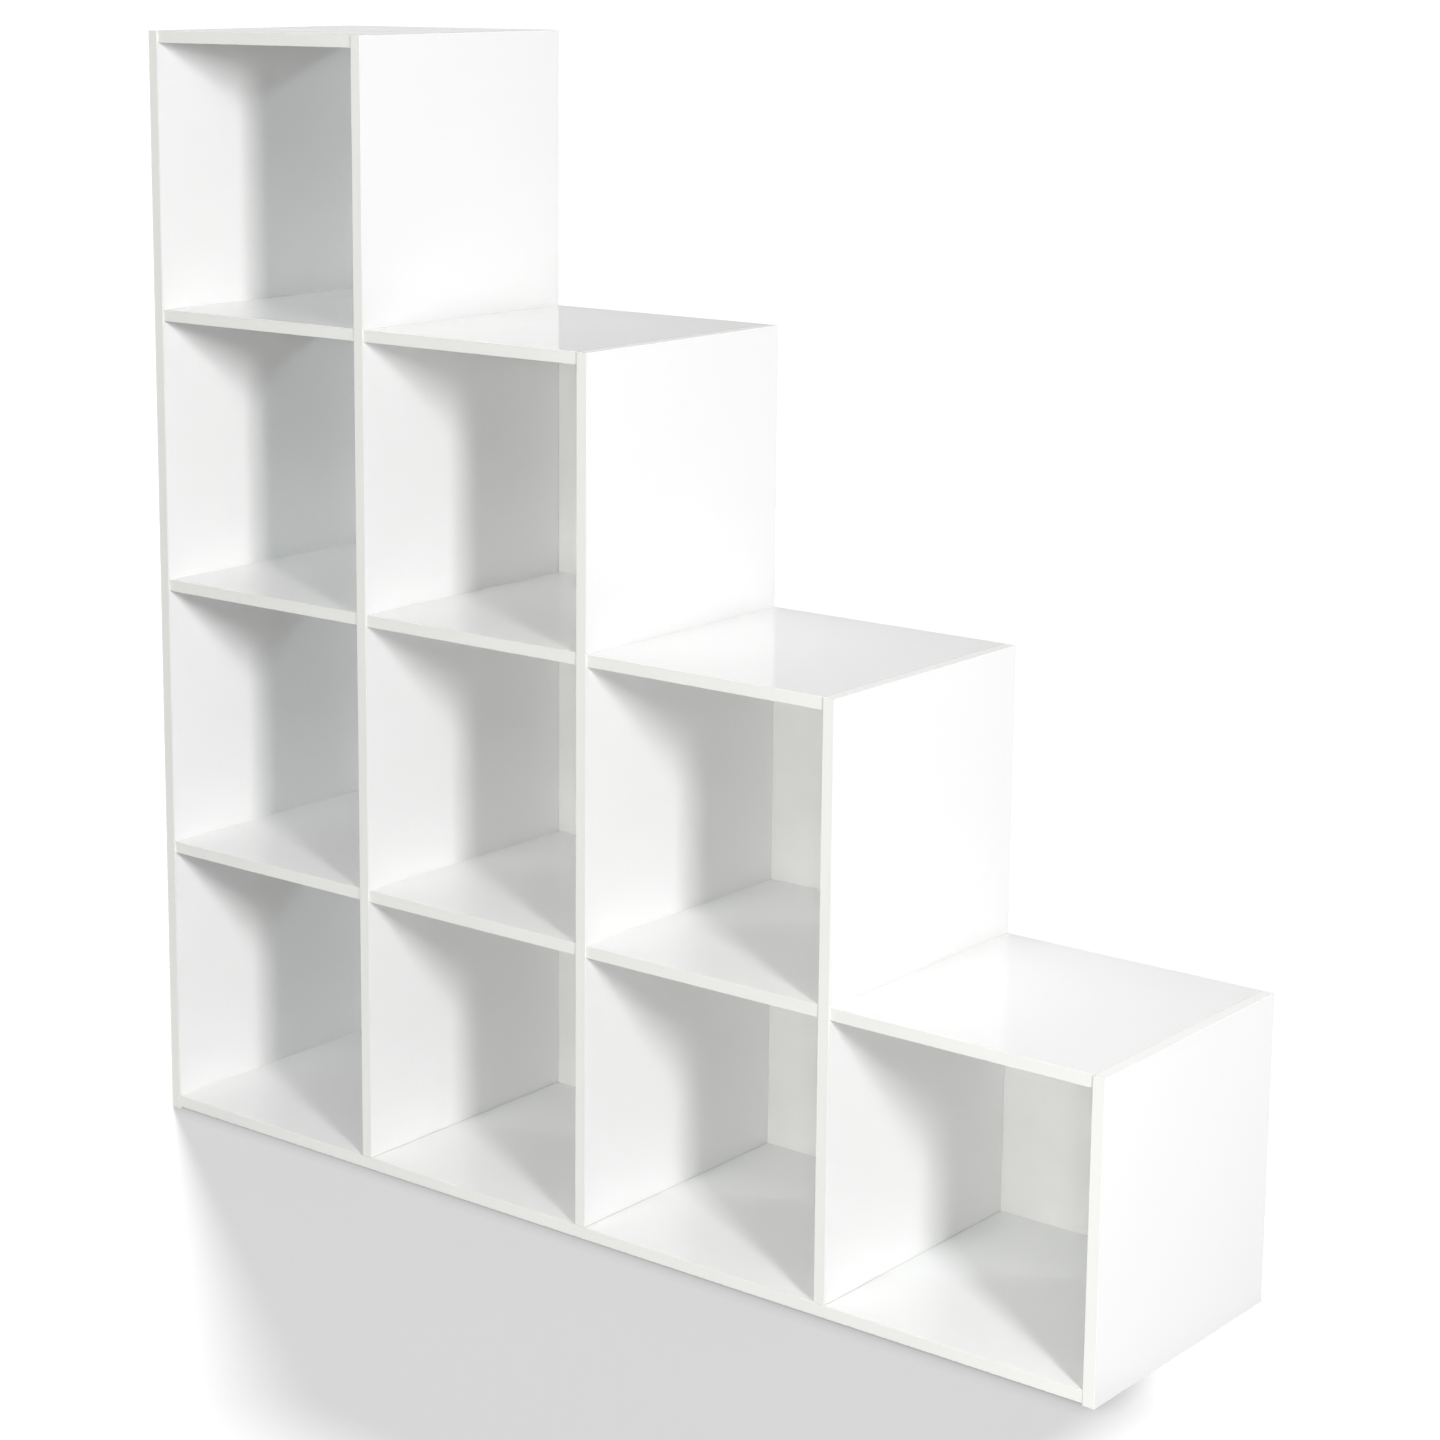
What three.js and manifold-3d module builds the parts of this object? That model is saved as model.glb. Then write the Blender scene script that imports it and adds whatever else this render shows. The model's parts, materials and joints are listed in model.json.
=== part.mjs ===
// Staircase bookshelf of ten open cubes, in columns of four, three, two and one.
// Millimetres, +Z up. X runs from the tall end to the low end, and the front faces -Y.
// The origin is the centre of the footprint, on the floor.

import * as THREE from 'three';
import { mergeVertices } from 'three/addons/utils/BufferGeometryUtils.js';
import Module from 'manifold-3d';

const wasm = await Module();
wasm.setup();

// Frame
const columnCount = 4;
const boardThickness = 12;
const cubeWidth = 270;
const cubeHeight = 270;
const uprightDepth = 295;
const shelfRecess = 1.5; // shelf fronts lie behind the fronts of the uprights
const footHeight = 2; // the two side boards reach this far below the bottom board
const arrisRadius = 1; // rounded corners of the banded front edges

// Back panels, fixed to the rear edges of the boards
const backThickness = 3;
const backInset = 3; // from the outer faces of the frame
const backSeam = 1; // between two panels that share an upright

// Cam fittings: a bolt through the upright, with a cam in the underside of each board that it holds
const fittingInset = 40; // bolt axis from the front and from the rear of the uprights
const camRadius = 5.7;
const camSetback = 24; // cam axis from the end of its board
const pocketRoof = 2.5; // board left above a cam's pocket
const camSlotLength = 7;
const camSlotWidth = 1.3;
const camSlotDepth = 1.5;
const boltRadius = 2.7;
const blindWall = 3.2; // upright left behind the bore of a single bolt
const boltNeckRadius = 1.8;
const boltNeckLength = 4;
const boltChamfer = 0.8;

// Screws up through the bottom board into the inner uprights
const screwLength = 45;
const screwHeadRadius = 4;
const screwShankRadius = 2;
const screwPointLength = 5;

// Gap that a piece keeps to the piece that it is fixed to
const seatClearance = 0.3;

// Facets, and how far a cutter runs out of the face that it cuts
const roundSides = 12;
const boltSides = 6;
const arrisSegments = 2;
const cutterOverrun = 1;

// Places that follow from the sizes above
const columnPitch = cubeWidth + boardThickness;
const levelPitch = cubeHeight + boardThickness;
const frameWidth = columnCount * columnPitch + boardThickness;
const frameDepth = uprightDepth + seatClearance + backThickness;
const frontY = -frameDepth / 2;
const halfBoard = boardThickness / 2;
const innerFootHeight = footHeight + boardThickness + seatClearance;
const fittingRows = { front: fittingInset, rear: uprightDepth - fittingInset };
const pocketRadius = camRadius + seatClearance;
const pocketDepth = boardThickness - pocketRoof;
const camHeight = pocketDepth - seatClearance;
const boltBoreRadius = boltRadius + seatClearance;
const blindBoreDepth = boardThickness - blindWall;
const boltDepth = blindBoreDepth - seatClearance;

const levelsOfColumn = (column) => columnCount - column;
const levelsOfUpright = (upright) => levelsOfColumn(Math.max(upright - 1, 0));
const uprightLeft = (upright) => -frameWidth / 2 + upright * columnPitch;
const undersideOfLevel = (level) => footHeight + level * levelPitch;
const topOfLevel = (level) => undersideOfLevel(level) + boardThickness;
const isSideBoard = (upright) => upright === 0 || upright === columnCount;
const holdsLeft = (upright, level) => upright > 0 && level <= levelsOfColumn(upright - 1);
const holdsRight = (upright, level) => upright < columnCount && level <= levelsOfColumn(upright);

// Finishes
const whiteMelamine = { color: 0xf2f2ee, roughness: 0.22, metalness: 0 };
const whiteHardboard = { color: 0xe9e8e2, roughness: 0.45, metalness: 0 };
const zincAlloy = { color: 0xb8babb, roughness: 0.38, metalness: 1 };
const platedSteel = { color: 0xc9c6bd, roughness: 0.3, metalness: 1 };

// A closed geometry as a solid that can be cut and joined
function solidFrom(geometry) {
  const bare = geometry.clone();
  bare.deleteAttribute('normal');
  bare.deleteAttribute('uv');
  const merged = mergeVertices(bare);
  const corners = merged.index.array;
  const triVerts = [];
  for (let i = 0; i < corners.length; i += 3) {
    const [a, b, c] = [corners[i], corners[i + 1], corners[i + 2]];
    if (a !== b && b !== c && c !== a) {
      triVerts.push(a, b, c);
    }
  }
  const vertProperties = merged.attributes.position.array;
  const mesh = new wasm.Mesh({ numProp: 3, vertProperties, triVerts: new Uint32Array(triVerts) });
  return new wasm.Manifold(mesh);
}

// A solid as a geometry with flat-shaded faces
function geometryFrom(solid) {
  const mesh = solid.getMesh();
  const shared = new THREE.BufferGeometry();
  shared.setAttribute('position', new THREE.BufferAttribute(mesh.vertProperties, 3));
  shared.setIndex(new THREE.BufferAttribute(mesh.triVerts, 1));
  const geometry = shared.toNonIndexed();
  geometry.computeVertexNormals();
  return geometry;
}

function cutAll(solid, cutters) {
  return cutters.reduce((left, cutter) => left.subtract(solidFrom(cutter)), solid);
}

// A round rod that starts at the origin and runs along +X
function rodAlongX(radius, length, sides) {
  const rod = new THREE.CylinderGeometry(radius, radius, length, sides);
  rod.rotateZ(-Math.PI / 2);
  rod.translate(length / 2, 0, 0);
  return rod;
}

// A round rod that starts at the origin and runs up along +Z
function rodAlongZ(radius, length, sides) {
  const rod = new THREE.CylinderGeometry(radius, radius, length, sides);
  rod.rotateX(Math.PI / 2);
  rod.translate(0, 0, length / 2);
  return rod;
}

// Cross-section of a board: thickness along X, depth along Y, the two front corners rounded
function boardSection(depth) {
  const inner = boardThickness - arrisRadius;
  const section = new THREE.Shape();
  section.moveTo(arrisRadius, 0);
  section.lineTo(inner, 0);
  section.absarc(inner, arrisRadius, arrisRadius, -Math.PI / 2, 0);
  section.lineTo(boardThickness, depth);
  section.lineTo(0, depth);
  section.lineTo(0, arrisRadius);
  section.absarc(arrisRadius, arrisRadius, arrisRadius, Math.PI, 1.5 * Math.PI);
  return section;
}

function extrudedBoard(length, depth) {
  return new THREE.ExtrudeGeometry(boardSection(depth), {
    depth: length,
    bevelEnabled: false,
    curveSegments: arrisSegments,
  });
}

// A board that lies flat, from the origin along +X, with its underside at z = 0
function flatBoard(length, depth) {
  const board = extrudedBoard(length, depth);
  board.rotateY(Math.PI / 2);
  board.translate(0, 0, boardThickness);
  return solidFrom(board);
}

// The cam pockets in a flat board's underside, and the bolt bores from its ends to them
function endFittingCutters(length, rows) {
  const cutters = [];
  for (const row of rows) {
    for (const pocketX of [camSetback, length - camSetback]) {
      const pocket = rodAlongZ(pocketRadius, pocketDepth + cutterOverrun, roundSides);
      pocket.translate(pocketX, row, -cutterOverrun);
      cutters.push(pocket);
    }
    const boreLength = camSetback + cutterOverrun;
    for (const boreX of [-cutterOverrun, length - camSetback]) {
      const bore = rodAlongX(boltBoreRadius, boreLength, boltSides);
      bore.translate(boreX, row, halfBoard);
      cutters.push(bore);
    }
  }
  return cutters;
}

function shelfGeometry() {
  const length = cubeWidth - 2 * seatClearance;
  const rows = Object.values(fittingRows).map((row) => row - shelfRecess);
  const board = flatBoard(length, uprightDepth - shelfRecess);
  return geometryFrom(cutAll(board, endFittingCutters(length, rows)));
}

// The countersunk hole that a screw takes in the underside of the bottom board
function screwHoleCutter() {
  const bore = screwShankRadius + seatClearance;
  const mouth = screwHeadRadius + seatClearance;
  const profile = [
    new THREE.Vector2(0, -cutterOverrun),
    new THREE.Vector2(mouth, -cutterOverrun),
    new THREE.Vector2(mouth, 0),
    new THREE.Vector2(bore, mouth - bore),
    new THREE.Vector2(bore, boardThickness + cutterOverrun),
    new THREE.Vector2(0, boardThickness + cutterOverrun),
  ];
  const cutter = new THREE.LatheGeometry(profile, roundSides);
  cutter.rotateX(Math.PI / 2);
  return cutter;
}

function bottomBoardGeometry() {
  const length = frameWidth - 2 * (boardThickness + seatClearance);
  const rows = Object.values(fittingRows);
  const cutters = endFittingCutters(length, rows);
  for (let upright = 1; upright < columnCount; upright += 1) {
    for (const row of rows) {
      const hole = screwHoleCutter();
      hole.translate(upright * columnPitch - halfBoard - seatClearance, row, 0);
      cutters.push(hole);
    }
  }
  return geometryFrom(cutAll(flatBoard(length, uprightDepth), cutters));
}

// The bore of one bolt: right through where it serves both sides, and blind where it serves one
function boltBoreCutter(left, right) {
  const isThrough = left && right;
  const length = (isThrough ? boardThickness + cutterOverrun : blindBoreDepth) + cutterOverrun;
  const bore = rodAlongX(boltBoreRadius, length, boltSides);
  const start = left ? -cutterOverrun : boardThickness + cutterOverrun - length;
  bore.translate(start, 0, 0);
  return bore;
}

function uprightGeometry(upright) {
  const foot = isSideBoard(upright) ? 0 : innerFootHeight;
  const height = topOfLevel(levelsOfUpright(upright)) - foot;
  const cutters = [];
  for (const row of Object.values(fittingRows)) {
    const lowestLevel = isSideBoard(upright) ? 0 : 1;
    for (let level = lowestLevel; level <= levelsOfUpright(upright); level += 1) {
      const bore = boltBoreCutter(holdsLeft(upright, level), holdsRight(upright, level));
      bore.translate(0, row, undersideOfLevel(level) + halfBoard - foot);
      cutters.push(bore);
    }
    if (!isSideBoard(upright)) {
      const depthInUpright = footHeight + screwLength + seatClearance - foot;
      const pilot = rodAlongZ(screwShankRadius + seatClearance, depthInUpright + cutterOverrun, roundSides);
      pilot.translate(halfBoard, row, -cutterOverrun);
      cutters.push(pilot);
    }
  }
  return geometryFrom(cutAll(solidFrom(extrudedBoard(height, uprightDepth)), cutters));
}

// A cam with a cross slot in its underside, its axis on the Z axis and the bolt axis at z = 0
function camSolid() {
  const cam = rodAlongZ(camRadius, camHeight, roundSides);
  cam.translate(0, 0, -halfBoard);
  const slots = [
    new THREE.BoxGeometry(camSlotLength, camSlotWidth, 2 * camSlotDepth),
    new THREE.BoxGeometry(camSlotWidth, camSlotLength, 2 * camSlotDepth),
  ];
  slots.forEach((slot) => slot.translate(0, 0, -halfBoard));
  return cutAll(solidFrom(cam), slots);
}

// Half of a bolt, along +X from where its thread starts to the cam's axis
function boltHalf(threadStart, chamfer) {
  const camX = halfBoard + seatClearance + camSetback;
  const neckStart = camX - camRadius - boltNeckLength;
  const profile = [
    new THREE.Vector2(0, threadStart),
    new THREE.Vector2(boltRadius - chamfer, threadStart),
    new THREE.Vector2(boltRadius, threadStart + chamfer),
    new THREE.Vector2(boltRadius, neckStart),
    new THREE.Vector2(boltNeckRadius, neckStart),
    new THREE.Vector2(boltNeckRadius, camX),
    new THREE.Vector2(0, camX),
  ];
  const bolt = new THREE.LatheGeometry(profile, boltSides);
  bolt.rotateZ(-Math.PI / 2);
  return solidFrom(bolt).add(camSolid().translate([camX, 0, 0]));
}

// A cam fitting, its origin in the middle of the upright, on the bolt axis
function camFittingGeometry(left, right) {
  const isThrough = left && right;
  const half = isThrough ? boltHalf(0, 0) : boltHalf(halfBoard - boltDepth, boltChamfer);
  const halfTurn = [0, 0, 180];
  if (isThrough) {
    return geometryFrom(half.add(half.rotate(halfTurn)));
  }
  return geometryFrom(right ? half : half.rotate(halfTurn));
}

// A countersunk screw that points up, its head's flat face at z = 0
function screwGeometry() {
  const profile = [
    new THREE.Vector2(0, 0),
    new THREE.Vector2(screwHeadRadius, 0),
    new THREE.Vector2(screwShankRadius, screwHeadRadius - screwShankRadius),
    new THREE.Vector2(screwShankRadius, screwLength - screwPointLength),
    new THREE.Vector2(0, screwLength),
  ];
  const screw = new THREE.LatheGeometry(profile, roundSides);
  screw.rotateX(Math.PI / 2);
  return screw;
}

// The panel behind one column, from the origin along +X, +Y and +Z
function backPanelGeometry(column) {
  const left = backPanelLeft(column);
  const right = column === columnCount - 1
    ? uprightLeft(columnCount) + boardThickness - backInset
    : uprightLeft(column + 1) + halfBoard - backSeam / 2;
  const height = topOfLevel(levelsOfColumn(column)) - footHeight - 2 * backInset;
  const panel = new THREE.BoxGeometry(right - left, backThickness, height);
  panel.translate((right - left) / 2, backThickness / 2, height / 2);
  return panel;
}

function backPanelLeft(column) {
  return column === 0 ? uprightLeft(0) + backInset : uprightLeft(column) + halfBoard + backSeam / 2;
}

function addPiece(parent, name, geometry, finish, x, y, z) {
  const piece = new THREE.Mesh(geometry, new THREE.MeshStandardMaterial(finish));
  piece.name = name;
  piece.position.set(x, y, z);
  parent.add(piece);
}

function uprightName(upright) {
  if (isSideBoard(upright)) {
    return upright === 0 ? 'left_side_board' : 'right_side_board';
  }
  return `upright_${upright + 1}`;
}

// The upright boards, from the tall end to the low end
function addUprights(parent) {
  for (let upright = 0; upright <= columnCount; upright += 1) {
    const foot = isSideBoard(upright) ? 0 : innerFootHeight;
    const geometry = uprightGeometry(upright);
    addPiece(parent, uprightName(upright), geometry, whiteMelamine, uprightLeft(upright), frontY, foot);
  }
}

// The long bottom board between the two side boards
function addBottomBoard(parent) {
  const left = uprightLeft(0) + boardThickness + seatClearance;
  addPiece(parent, 'bottom_board', bottomBoardGeometry(), whiteMelamine, left, frontY, footHeight);
}

// One shelf at each level of each column, the highest one being the top of that step
function addShelves(parent) {
  const geometry = shelfGeometry();
  for (let column = 0; column < columnCount; column += 1) {
    const left = uprightLeft(column) + boardThickness + seatClearance;
    for (let level = 1; level <= levelsOfColumn(column); level += 1) {
      const kind = level === levelsOfColumn(column) ? 'top' : `shelf_${level}`;
      const name = `column_${column + 1}_${kind}`;
      addPiece(parent, name, geometry, whiteMelamine, left, frontY + shelfRecess, undersideOfLevel(level));
    }
  }
}

// One thin panel behind each column
function addBackPanels(parent) {
  const backY = frontY + uprightDepth + seatClearance;
  for (let column = 0; column < columnCount; column += 1) {
    const name = `back_panel_${column + 1}`;
    const left = backPanelLeft(column);
    addPiece(parent, name, backPanelGeometry(column), whiteHardboard, left, backY, footHeight + backInset);
  }
}

// Two fittings, front and rear, wherever an upright meets boards at a level
function addCamFittings(parent) {
  for (let upright = 0; upright <= columnCount; upright += 1) {
    const lowestLevel = isSideBoard(upright) ? 0 : 1;
    for (let level = lowestLevel; level <= levelsOfUpright(upright); level += 1) {
      const geometry = camFittingGeometry(holdsLeft(upright, level), holdsRight(upright, level));
      for (const [place, row] of Object.entries(fittingRows)) {
        const name = `cam_fitting_upright_${upright + 1}_level_${level}_${place}`;
        const x = uprightLeft(upright) + halfBoard;
        const z = undersideOfLevel(level) + halfBoard;
        addPiece(parent, name, geometry, zincAlloy, x, frontY + row, z);
      }
    }
  }
}

// Two screws under each inner upright
function addFootScrews(parent) {
  const geometry = screwGeometry();
  for (let upright = 1; upright < columnCount; upright += 1) {
    for (const [place, row] of Object.entries(fittingRows)) {
      const name = `foot_screw_upright_${upright + 1}_${place}`;
      const x = uprightLeft(upright) + halfBoard;
      addPiece(parent, name, geometry, platedSteel, x, frontY + row, footHeight);
    }
  }
}

const bookshelf = new THREE.Group();
const boards = new THREE.Group();
const fasteners = new THREE.Group();
bookshelf.add(boards, fasteners);
addUprights(boards);
addBottomBoard(boards);
addShelves(boards);
addBackPanels(boards);
addCamFittings(fasteners);
addFootScrews(fasteners);

export default bookshelf;
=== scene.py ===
# %% [markdown]
# # A staircase bookshelf of ten open cubes
# The real shelf is flat-pack furniture: white boards, 12 mm thick, held together by cams and bolts, with thin
# panels nailed on behind. The solid model of it is loaded first and never moves. Every piece below reads its
# place from that model, so the finished shelf keeps the size of the solid one.

import json
import math

import bmesh
import bpy
from mathutils import Matrix, Vector

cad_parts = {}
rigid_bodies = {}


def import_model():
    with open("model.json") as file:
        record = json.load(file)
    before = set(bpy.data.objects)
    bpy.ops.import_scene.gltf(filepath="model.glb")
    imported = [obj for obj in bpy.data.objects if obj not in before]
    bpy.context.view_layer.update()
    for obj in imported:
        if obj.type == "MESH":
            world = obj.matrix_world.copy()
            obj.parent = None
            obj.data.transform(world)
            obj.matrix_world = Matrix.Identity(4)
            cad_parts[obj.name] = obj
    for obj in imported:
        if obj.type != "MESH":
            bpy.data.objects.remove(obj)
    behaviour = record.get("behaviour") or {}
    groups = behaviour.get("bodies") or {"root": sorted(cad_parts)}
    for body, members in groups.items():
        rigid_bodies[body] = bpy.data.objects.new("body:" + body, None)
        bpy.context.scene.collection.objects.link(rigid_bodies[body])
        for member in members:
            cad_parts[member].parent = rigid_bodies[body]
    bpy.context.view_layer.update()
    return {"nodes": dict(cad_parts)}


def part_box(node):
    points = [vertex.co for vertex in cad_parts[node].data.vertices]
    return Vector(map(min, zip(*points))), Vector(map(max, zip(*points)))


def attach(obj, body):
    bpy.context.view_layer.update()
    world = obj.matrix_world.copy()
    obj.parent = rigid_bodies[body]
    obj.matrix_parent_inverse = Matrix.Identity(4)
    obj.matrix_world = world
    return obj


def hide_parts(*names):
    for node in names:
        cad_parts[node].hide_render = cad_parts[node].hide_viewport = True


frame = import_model()
scene = bpy.context.scene

# %% [markdown]
# ## The camera
# The shelf was seen from its front right, a little above its top step, with a long lens. The upright edges stay
# nearly upright in the picture, which a photographer gets by shifting the lens instead of tilting the camera
# far down. Blender's camera has the same shift, so the camera is only pitched a little and the frame slides.

# %% Place the camera
CAMERA_PLACE = (1.8766, -2.4078, 1.2199)
CAMERA_AZIMUTH = 40.334
CAMERA_PITCH_DOWN = 10.694
CAMERA_SENSOR = 36
CAMERA_LENS = 80.696
CAMERA_SHIFT = (0.12, -0.11)
CAMERA_SIGHT = 400

camera_data = bpy.data.cameras.new("camera")
camera_data.sensor_width = CAMERA_SENSOR
camera_data.lens = CAMERA_LENS
camera_data.shift_x, camera_data.shift_y = CAMERA_SHIFT
camera_data.clip_end = CAMERA_SIGHT
camera = bpy.data.objects.new("camera", camera_data)
camera.location = CAMERA_PLACE
camera.rotation_euler = (math.radians(90 - CAMERA_PITCH_DOWN), 0, math.radians(CAMERA_AZIMUTH))
scene.collection.objects.link(camera)
scene.camera = camera
scene.view_settings.view_transform = "Standard"
print("camera lens", CAMERA_LENS, "mm at", CAMERA_PLACE)

# %% [markdown]
# ## Small helpers for node trees
# Every finish below is a tree of nodes, and these helpers keep the trees short to read. The first two add a node
# and fill its sockets with values or links. The next ones add the nodes that come up most: a calculation, a
# change of range, a blend of two colours and a noise.

# %% Helpers that add nodes
def fill(tree, node, values):
    """Gives the input sockets of a node, by name or number, their values or links."""
    for key, value in values.items():
        if isinstance(value, bpy.types.NodeSocket):
            tree.links.new(value, node.inputs[key])
        else:
            node.inputs[key].default_value = value
    return node


def add_node(tree, kind, values=None, **settings):
    """A new node with its settings and its filled inputs."""
    node = tree.nodes.new(kind)
    for name, setting in settings.items():
        setattr(node, name, setting)
    return fill(tree, node, values or {})


def calculated(tree, operation, first, second, clamp=False):
    """The result of a calculation with two values."""
    values = {0: first, 1: second}
    return add_node(tree, "ShaderNodeMath", values, operation=operation, use_clamp=clamp).outputs[0]


def ranged(tree, value, low=0.0, high=1.0, to_low=0.0, to_high=1.0, kind="LINEAR"):
    """A value carried from one range into another, and held inside it."""
    values = {"Value": value, "From Min": low, "From Max": high, "To Min": to_low, "To Max": to_high}
    return add_node(tree, "ShaderNodeMapRange", values, interpolation_type=kind).outputs["Result"]


def blended(tree, share, first, second, kind="MIX"):
    """The first colour, with a share of the second one in it."""
    values = {"Factor": share, 6: first, 7: second}
    return add_node(tree, "ShaderNodeMix", values, data_type="RGBA", blend_type=kind).outputs[2]


def noise_field(tree, vector, size, detail=2.0):
    """Noise whose patches are about as large as the size says, in metres."""
    scale = calculated(tree, "DIVIDE", 1.0, size)
    return add_node(tree, "ShaderNodeTexNoise", {"Vector": vector, "Scale": scale, "Detail": detail})

# %% [markdown]
# ## Starting a group, a material or a set of coordinates
# An effect that several finishes share is a node group with named inputs and one output. A material starts with
# its shader. Both work in coordinates that stay with the piece, so a pattern never slides over it.

# %% Helpers that start a tree
def new_group(name, output, inputs):
    """An empty node group. Its output is (name, kind) and its inputs are (name, kind) or (name, kind, value)."""
    tree = bpy.data.node_groups.new(name, "ShaderNodeTree")
    for label, kind, *value in inputs:
        socket = tree.interface.new_socket(label, in_out="INPUT", socket_type=f"NodeSocket{kind}")
        if value:
            socket.default_value = value[0]
    tree.interface.new_socket(output[0], in_out="OUTPUT", socket_type=f"NodeSocket{output[1]}")
    return tree, tree.nodes.new("NodeGroupInput").outputs, tree.nodes.new("NodeGroupOutput")


def place_group(tree, group, values):
    """What a group puts out when it is placed in a tree."""
    return add_node(tree, "ShaderNodeGroup", values, node_tree=group).outputs[0]


def new_material(name):
    """A material with its tree and its Principled shader."""
    material = bpy.data.materials.new(name)
    material.use_nodes = True
    return material, material.node_tree, material.node_tree.nodes["Principled BSDF"]


def piece_place(tree):
    """Coordinates that stay with the piece."""
    return add_node(tree, "ShaderNodeTexCoord").outputs["Object"]

# %% [markdown]
# ## Effect: surface ripple
# No pressed or moulded face is a mirror. White board has a fine pearl from the press plate, a millimetre or so
# wide, and long shallow swells where the chips underneath telegraph through. Two noises of different size give
# both. The group gives out a height only, and each material turns it into a bump as deep as it needs.

# %% Group: surface ripple
ripple, given, result = new_group("surface ripple", ("Height", "Float"), [
    ("Vector", "Vector"), ("Grain Size", "Float", 0.001), ("Swell Size", "Float", 0.03),
    ("Swell Share", "Float", 0.5),
])
fine_grain = noise_field(ripple, given["Vector"], given["Grain Size"])
long_swell = noise_field(ripple, given["Vector"], given["Swell Size"], detail=1.0)
height = add_node(ripple, "ShaderNodeMix", {
    "Factor": given["Swell Share"], "A": fine_grain.outputs["Fac"], "B": long_swell.outputs["Fac"],
})
fill(ripple, result, {"Height": height.outputs["Result"]})
print("group:", ripple.name)

# %% [markdown]
# ## Effect: tone drift
# Paper, lacquer and plastic never have one single colour over a metre of board. The drift is slow and faint.
# The group blends two close tones over soft patches.

# %% Group: tone drift
DRIFT_NOISE = (0.35, 0.65)
PLAIN_WHITE = (1, 1, 1, 1)

drift, given, result = new_group("tone drift", ("Color", "Color"), [
    ("Vector", "Vector"), ("First Tone", "Color", PLAIN_WHITE), ("Second Tone", "Color", PLAIN_WHITE),
    ("Patch Size", "Float", 0.15),
])
patches = noise_field(drift, given["Vector"], given["Patch Size"])
share = ranged(drift, patches.outputs["Fac"], *DRIFT_NOISE)
fill(drift, result, {"Color": blended(drift, share, given["First Tone"], given["Second Tone"])})
print("group:", drift.name)

# %% [markdown]
# ## Effect: handling
# Hands and cloths leave some patches of a surface a little duller than others. It shows only where a face
# reflects something, and it is what makes a reflection look real. The group gives out a roughness between two
# limits.

# %% Group: handling
HANDLED_NOISE = (0.3, 0.7)

handling, given, result = new_group("handling", ("Roughness", "Float"), [
    ("Vector", "Vector"), ("Patch Size", "Float", 0.08), ("Glossy", "Float", 0.2), ("Dull", "Float", 0.3),
])
patches = noise_field(handling, given["Vector"], given["Patch Size"], detail=4.0)
roughness = ranged(handling, patches.outputs["Fac"], *HANDLED_NOISE, given["Glossy"], given["Dull"])
fill(handling, result, {"Roughness": roughness})
print("group:", handling.name)

# %% [markdown]
# ## Effect: edge wear
# Edges are what a piece is knocked on. Each mesh below carries a number called arris, which is 1 on the small
# rounded faces along its edges and 0 elsewhere. The group breaks that band up with noise, so that wear comes in
# patches and never as an even line.

# %% Group: edge wear
WORN_NOISE = (0.42, 0.62)

wear, given, result = new_group("edge wear", ("Wear", "Float"), [
    ("Edge", "Float", 0.0), ("Vector", "Vector"), ("Patch Size", "Float", 0.02), ("Amount", "Float", 0.5),
])
patches = noise_field(wear, given["Vector"], given["Patch Size"], detail=5.0)
worn_edge = calculated(wear, "MULTIPLY", given["Edge"], ranged(wear, patches.outputs["Fac"], *WORN_NOISE))
fill(wear, result, {"Wear": calculated(wear, "MULTIPLY", worn_edge, given["Amount"], clamp=True)})
print("group:", wear.name)

# %% [markdown]
# ## A helper that makes a finish
# Most finishes use the effects in the same way, so one helper makes them all: tone and wear make the colour,
# handling makes the roughness, ripple makes the bump. Each finish then differs by its values. The ripple can be
# drawn out along an axis, for a surface with a direction.

# %% Helper that makes a finish
WEAR_PATCH = 0.015
HANDLING_PATCH = 0.06


def make_finish(
    name, tones, patch, worn_tone, wear_amount, gloss, grain, swell, share, depth, stretch=(1, 1, 1), metallic=0.0,
):
    """A material whose colour, roughness and bump come from the four effects. Lengths are in metres."""
    material, tree, shader = new_material(name)
    place = piece_place(tree)
    tone = place_group(tree, drift, {
        "Vector": place, "First Tone": (*tones[0], 1), "Second Tone": (*tones[1], 1), "Patch Size": patch,
    })
    edge = add_node(tree, "ShaderNodeAttribute", attribute_name="arris").outputs["Fac"]
    worn = place_group(tree, wear, {
        "Edge": edge, "Vector": place, "Patch Size": WEAR_PATCH, "Amount": wear_amount,
    })
    polish = place_group(tree, handling, {
        "Vector": place, "Patch Size": HANDLING_PATCH, "Glossy": gloss[0], "Dull": gloss[1],
    })
    drawn_out = add_node(tree, "ShaderNodeVectorMath", {0: place, 1: stretch}, operation="DIVIDE").outputs[0]
    relief = place_group(tree, ripple, {
        "Vector": drawn_out, "Grain Size": grain, "Swell Size": swell, "Swell Share": share,
    })
    bump = add_node(tree, "ShaderNodeBump", {"Strength": 1.0, "Distance": depth, "Height": relief})
    fill(tree, shader, {
        "Base Color": blended(tree, worn, tone, (*worn_tone, 1)), "Metallic": metallic,
        "Roughness": polish, "Normal": bump.outputs["Normal"],
    })
    print("material:", name)
    return material

# %% [markdown]
# ## Finish: white melamine
# The faces of the boards are paper soaked in melamine resin, pressed on at high heat against a polished plate.
# The result is a hard, half-gloss white: the steps of this shelf mirror the board that stands behind them. A low
# roughness and a very shallow bump give that, with the pearl about a millimetre wide.

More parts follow.
